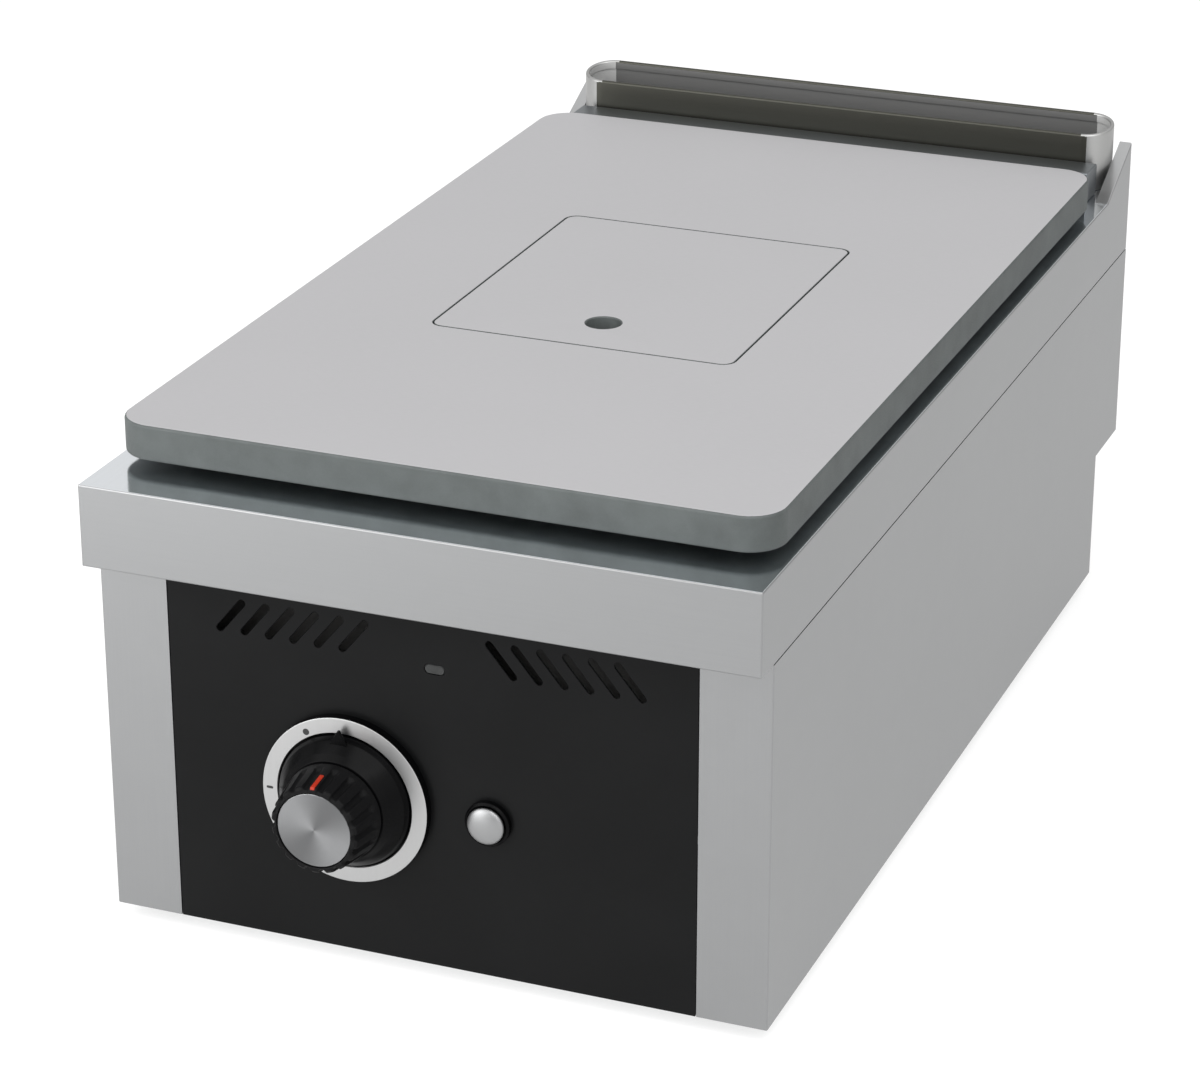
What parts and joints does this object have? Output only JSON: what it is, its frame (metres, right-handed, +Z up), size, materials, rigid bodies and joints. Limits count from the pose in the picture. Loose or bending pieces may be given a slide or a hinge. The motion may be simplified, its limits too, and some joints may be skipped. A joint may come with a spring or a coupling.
{
  "type": "hot plate burner",
  "caption": "Table-top gas solid top: a thick hot plate with a lift-out centre plug over a round burner, in a steel case with a knob, igniter and rear flue outlet.",
  "frame": {"origin": "on the floor under the middle of the whole unit, knob included", "axes": "+Z up, -Y towards the operator, +X to the operator's right"},
  "size_m": [0.4, 0.776, 0.324],
  "materials": {
    "satin_steel": "satin",
    "polished_steel": "bright polished",
    "plate_steel": "fine ground",
    "black_enamel": "semi-gloss",
    "black_plastic": "gloss",
    "dial_silver": "satin",
    "spun_aluminium": "spun",
    "chrome": "polished",
    "screw_steel": "bright",
    "signal_red": "semi-gloss",
    "galvanised_steel": "zinc-coated",
    "cast_iron": "as cast",
    "brass": "machined",
    "copper": "drawn copper",
    "fibre_board": "fibrous",
    "porcelain": "glazed",
    "lead_silicone": "matte",
    "foot_rubber": "matte",
    "sight_glass": "clear"
  },
  "bodies": {
    "casing": {"base_pan": "galvanised_steel", "left_side_panel": "satin_steel", "right_side_panel": "satin_steel", "control_panel": "black_enamel", "worktop": "polished_steel", "rear_upper_panel": "satin_steel", "rear_lower_panel": "satin_steel", "rear_shelf": "satin_steel", "rear_screw_1": "screw_steel", "rear_screw_2": "screw_steel", "rear_screw_3": "screw_steel", "rear_screw_4": "screw_steel", "foot_front_left": "foot_rubber", "foot_front_right": "foot_rubber", "foot_rear_left": "foot_rubber", "foot_rear_right": "foot_rubber", "flue_outlet": "polished_steel", "plate_seat": "cast_iron", "rear_bar": "plate_steel", "chamber_floor": "galvanised_steel", "chamber_front_wall": "galvanised_steel", "chamber_rear_wall": "galvanised_steel", "chamber_left_wall": "galvanised_steel", "chamber_right_wall": "galvanised_steel", "insulation_front": "fibre_board", "insulation_left": "fibre_board", "insulation_right": "fibre_board", "burner_bowl": "cast_iron", "mixing_tube": "cast_iron", "burner_cap": "cast_iron", "air_shutter": "galvanised_steel", "injector": "brass", "injector_holder": "galvanised_steel", "bracket_screw": "screw_steel", "gas_valve": "brass", "gas_rail": "galvanised_steel", "inlet_fitting": "brass", "inlet_locknut": "brass", "burner_feed_pipe": "copper", "pilot_bracket": "galvanised_steel", "pilot_burner": "brass", "thermocouple": "copper", "spark_electrode": "porcelain", "pilot_tube": "copper", "thermocouple_lead": "copper", "ignition_lead": "lead_silicone", "piezo_igniter": "black_plastic", "piezo_locknut": "galvanised_steel", "igniter_bezel": "black_plastic", "dial_plate": "dial_silver", "sight_window": "sight_glass"},
    "plate": {"hot_plate": "plate_steel"},
    "plug": {"plate_plug": "plate_steel"},
    "igniter": {"igniter_button": "chrome"},
    "knob_plunger": {"valve_push_rod": "chrome"},
    "knob": {"knob_skirt": "black_plastic", "knob_grip": "black_plastic", "knob_cap": "spun_aluminium", "knob_index": "signal_red", "valve_spindle": "brass"}
  },
  "joints": [
    {"name": "plate_lift", "type": "slide", "parent": "casing", "child": "plate", "axis": [0, 0, 1], "range_m": [0, 0.1]},
    {"name": "plug_lift", "type": "slide", "parent": "plate", "child": "plug", "axis": [0, 0, 1], "range_m": [0, 0.06]},
    {"name": "igniter_press", "type": "slide", "parent": "casing", "child": "igniter", "axis": [0, 1, 0], "range_m": [0, 0.0035], "stiffness_N_per_m": 900, "springref_m": -0.003},
    {"name": "knob_press", "type": "slide", "parent": "casing", "child": "knob_plunger", "axis": [0, 1, 0], "range_m": [0, 0.003], "stiffness_N_per_m": 900, "springref_m": -0.003},
    {"name": "knob_turn", "type": "hinge", "parent": "knob_plunger", "child": "knob", "pos_m": [-0.0495, -0.342, 0.106], "axis": [0, -1, 0], "range_deg": [0, 180]}
  ]
}
